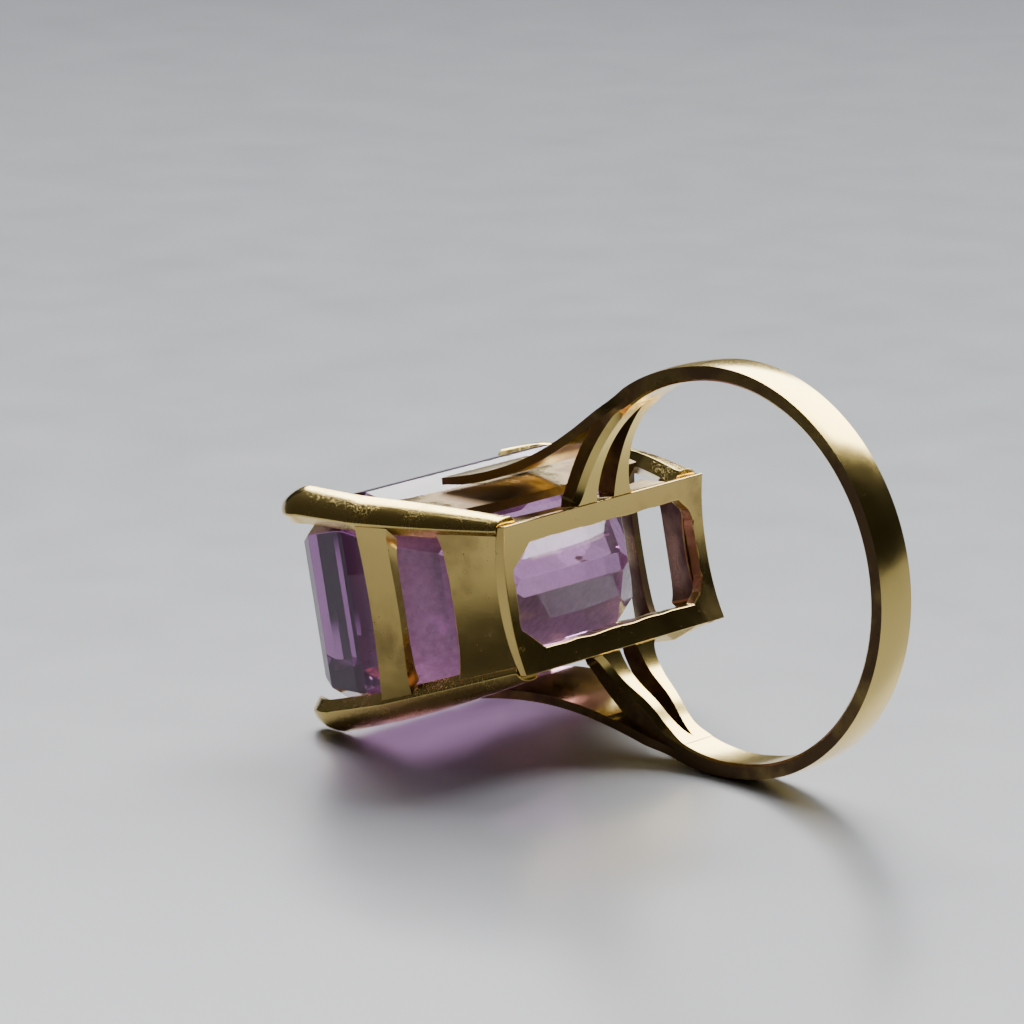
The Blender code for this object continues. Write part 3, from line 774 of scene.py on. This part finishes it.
# ---------------------------------------------------------------- operators

class RING_OT_band(Operator):
    """Build the band"""

    bl_idname = "ring.band"
    bl_label = "Band"

    def execute(self, context):
        scene = context.scene
        # The band's sides take the darkened gold: a painted shade, with brown film.
        finished("band", band_shape(scene.ring_sizes), polished(scene.ring_finish), "shank",
                 shaded_sides=shaded_filmed(scene.ring_finish))
        return {"FINISHED"}


class RING_OT_shoulders(Operator):
    """Build the two forked shoulders"""

    bl_idname = "ring.shoulders"
    bl_label = "Shoulders"

    def execute(self, context):
        sizes, metal = context.scene.ring_sizes, polished(context.scene.ring_finish)
        for name, side in (("left", 1.0), ("right", -1.0)):
            # The shoulders' sides take the darkened gold: a painted shade, with brown film.
            finished("shoulder_fork_" + name, shoulder_shape(sizes, side), metal,
                     "shoulder_" + name, sizes.edge_wear * 0.6,
                     shaded_sides=shaded_filmed(context.scene.ring_finish))
        return {"FINISHED"}


class RING_OT_base_plate(Operator):
    """Build the base plate with its window"""

    bl_idname = "ring.base_plate"
    bl_label = "Base plate"

    def execute(self, context):
        scene = context.scene
        finished("plate_frame", base_plate_shape(), dull(scene.ring_finish), "base_plate",
                 scene.ring_sizes.edge_wear)
        return {"FINISHED"}


class RING_OT_end_rails(Operator):
    """Build the four rails across the ends of the head"""

    bl_idname = "ring.end_rails"
    bl_label = "End rails"

    def execute(self, context):
        finish, wear = context.scene.ring_finish, context.scene.ring_sizes.edge_wear
        # The rear rails take the darkened gold: a painted shade, with brown film.
        metals = {"front": dull(finish), "rear": shaded_filmed(finish)}
        joint = shared("joint_solder", solder_metal, finish)
        for name, end in (("front", -1.0), ("rear", 1.0)):
            lower = end_rail_shape(end, CLAW_BASE, END_LOWER_TOP, LOWER_THICKNESS, False, True)
            finished("end_bar_lower_" + name, lower, metals[name], "end_rail_lower_" + name,
                     wear, edging=joint)
            upper = end_rail_shape(end, END_UPPER_BOTTOM, UPPER_TOP, UPPER_THICKNESS, True, False)
            finished("end_bar_upper_" + name, upper, metals[name], "end_rail_upper_" + name,
                     wear, edging=joint)
        return {"FINISHED"}


class RING_OT_side_rails(Operator):
    """Build the four rails along the sides of the head"""

    bl_idname = "ring.side_rails"
    bl_label = "Side rails"

    def execute(self, context):
        # The side rails take the darkened gold: a painted shade, with brown film.
        metal, wear = shaded_filmed(context.scene.ring_finish), context.scene.ring_sizes.edge_wear
        for name, side in (("left", 1.0), ("right", -1.0)):
            lower = side_rail_shape(side, CLAW_BASE, SIDE_LOWER_TOP, LOWER_THICKNESS, False, True)
            finished("side_bar_lower_" + name, lower, metal, "side_rail_lower_" + name, wear)
            upper = side_rail_shape(side, SIDE_UPPER_BOTTOM, UPPER_TOP, UPPER_THICKNESS, True, False)
            finished("side_bar_upper_" + name, upper, metal, "side_rail_upper_" + name, wear)
        return {"FINISHED"}


class RING_OT_claws(Operator):
    """Build the four corner claws"""

    bl_idname = "ring.claws"
    bl_label = "Claws"

    def execute(self, context):
        sizes, metal = context.scene.ring_sizes, scuffed(context.scene.ring_finish)
        for end_name, end in (("front", -1.0), ("rear", 1.0)):
            for side_name, side in (("left", 1.0), ("right", -1.0)):
                corner = end_name + "_" + side_name
                finished("corner_claw_" + corner, claw_shape(sizes, side, end), metal,
                         "claw_" + corner, sizes.edge_wear * 2.2)
        return {"FINISHED"}


class RING_OT_stone(Operator):
    """Build the step-cut stone"""

    bl_idname = "ring.stone"
    bl_label = "Stone"

    def execute(self, context):
        glass = shared("violet_quartz", stone_glass, context.scene.ring_finish)
        finished("step_cut_stone", stone_shape(), glass, "stone", 0.00002, flat=True,
                 segments=1)
        return {"FINISHED"}


class RING_OT_stage(Operator):
    """Build the table top, the lights and the camera"""

    bl_idname = "ring.stage"
    bl_label = "Stage"

    def execute(self, context):
        scene = context.scene
        make_floor(scene.ring_finish)
        make_lights()
        make_world(scene)
        make_camera(scene)
        return {"FINISHED"}


def make_floor(finish):
    """A large flat table top under the ring."""
    mesh = bpy.data.meshes.new("table_top")
    corners = [(-1, -1, 0), (1, -1, 0), (1, 1, 0), (-1, 1, 0)]
    mesh.from_pydata((np.array(corners) * TABLE_HALF_WIDTH).tolist(), [], [(0, 1, 2, 3)])
    floor = bpy.data.objects.new("table_top", mesh)
    bpy.context.scene.collection.objects.link(floor)
    mesh.materials.append(shared("pale_table_top", floor_finish, finish))


def soft_light(name, towards, distance, width, height, power):
    """A soft white rectangular light that faces the ring from a direction."""
    light = bpy.data.lights.new(name, "AREA")
    light.shape = "RECTANGLE"
    light.size, light.size_y = width, height
    light.energy = power
    lamp = bpy.data.objects.new(name, light)
    bpy.context.scene.collection.objects.link(lamp)
    aim = Vector(towards).normalized()
    lamp.location = aim * distance
    lamp.rotation_mode = "QUATERNION"
    lamp.rotation_quaternion = aim.to_track_quat("Z", "Y")
    lamp.visible_camera = False


def dark_card(name, towards, distance, width, height):
    """A dark card that stands on the table, out of the camera's sight, to deepen reflections."""
    ahead = np.array((*towards, 0.0))
    beside = np.array((-towards[1], towards[0], 0.0)) * width / 2.0
    foot, rise = ahead * distance, np.array((0.0, 0.0, height))
    mesh = bpy.data.meshes.new(name)
    mesh.from_pydata([tuple(p) for p in (foot - beside, foot + beside, foot + beside + rise,
                                         foot - beside + rise)], [], [(0, 1, 2, 3)])
    card = bpy.data.objects.new(name, mesh)
    bpy.context.scene.collection.objects.link(card)
    recipe = Recipe(name + "_cloth")
    recipe.feed("Base Color", recipe.blend(recipe.noise(400.0), (0.010, 0.008, 0.006, 1.0),
                                             (0.022, 0.017, 0.013, 1.0)))
    recipe.feed("Roughness", 0.9)
    mesh.materials.append(recipe.material)
    card.visible_camera = False


def make_lights():
    """A window of light behind the ring to its left, a softer one overhead and two dark cards."""
    soft_light("light_behind", towards=(-0.454, 0.891, 0.92), distance=0.90, width=1.17,
               height=0.60, power=29.0)
    soft_light("light_above", towards=(-0.25, 0.05, 1.0), distance=0.90, width=0.40,
               height=0.40, power=0.8)
    dark_card("card_front", towards=(-0.667, -0.745), distance=0.058, width=0.16, height=0.12)
    dark_card("card_behind", towards=(-0.60, 0.80), distance=0.34, width=0.60, height=0.150)


def make_world(scene):
    """A dim room that the ring reflects, and a pale wall that only the camera sees."""
    world = bpy.data.worlds.new("dim_room")
    world.use_nodes = True
    nodes = Nodes(world.node_tree)
    dim = nodes.tree.nodes["Background"]
    dim.inputs["Color"].default_value = (0.012, 0.011, 0.010, 1.0)
    pale = nodes.add("ShaderNodeBackground", Color=(0.40, 0.41, 0.43, 1.0))
    seen = nodes.add("ShaderNodeLightPath", output="Is Camera Ray")
    choice = nodes.add("ShaderNodeMixShader", in_0=seen, in_1=Value(nodes, dim.outputs[0]),
                       in_2=pale)
    nodes.link(choice, nodes.tree.nodes["World Output"].inputs["Surface"])
    scene.world = world


def make_camera(scene):
    """A long lens, close by, that looks at the ring from behind the head and the open side of
    the band. Blender's camera has x to the right, y up and z backwards."""
    directions = np.array(PICTURE_RIGHT), -np.array(PICTURE_DOWN), -np.array(PICTURE_FORWARD)
    axes = [unit(place(axis) - place(np.zeros(3))) for axis in directions]
    data = bpy.data.cameras.new("camera")
    data.lens = LENS_PER_SENSOR * data.sensor_width
    data.clip_start, data.clip_end = 0.01, 20.0
    camera = bpy.data.objects.new("camera", data)
    scene.collection.objects.link(camera)
    columns = np.eye(4)
    columns[:3, :3] = np.stack(axes, 1)
    columns[:3, 3] = place(np.array(EYE))
    camera.matrix_world = Matrix(columns.tolist())
    scene.camera = camera


# ---------------------------------------------------------------- panel and registration

STEPS = (RING_OT_band, RING_OT_shoulders, RING_OT_base_plate, RING_OT_end_rails,
         RING_OT_side_rails, RING_OT_claws, RING_OT_stone, RING_OT_stage)


class RING_PT_panel(Panel):
    """The ring's pieces and settings"""

    bl_label = "Cocktail ring"
    bl_idname = "RING_PT_panel"
    bl_space_type = "VIEW_3D"
    bl_region_type = "UI"
    bl_category = "Ring"

    def draw(self, context):
        column = self.layout.column(align=True)
        for step in STEPS:
            column.operator(step.bl_idname)
        for group in (context.scene.ring_sizes, context.scene.ring_finish):
            box = self.layout.box()
            for key in group.bl_rna.properties.keys():
                if key not in ("rna_type", "name"):
                    box.prop(group, key)


CLASSES = (RingSizes, RingFinish, *STEPS, RING_PT_panel)


def register():
    """Registers the classes and gives each scene its settings."""
    for item in CLASSES:
        bpy.utils.register_class(item)
    bpy.types.Scene.ring_sizes = PointerProperty(type=RingSizes)
    bpy.types.Scene.ring_finish = PointerProperty(type=RingFinish)


def unregister():
    """Takes away what register made."""
    del bpy.types.Scene.ring_finish
    del bpy.types.Scene.ring_sizes
    for item in reversed(CLASSES):
        bpy.utils.unregister_class(item)


def main():
    """Builds every piece and the stage."""
    register()
    bpy.ops.ring.band()
    bpy.ops.ring.shoulders()
    bpy.ops.ring.base_plate()
    bpy.ops.ring.end_rails()
    bpy.ops.ring.side_rails()
    bpy.ops.ring.claws()
    bpy.ops.ring.stone()
    bpy.ops.ring.stage()
    bpy.context.view_layer.update()


if __name__ == "__main__":
    main()
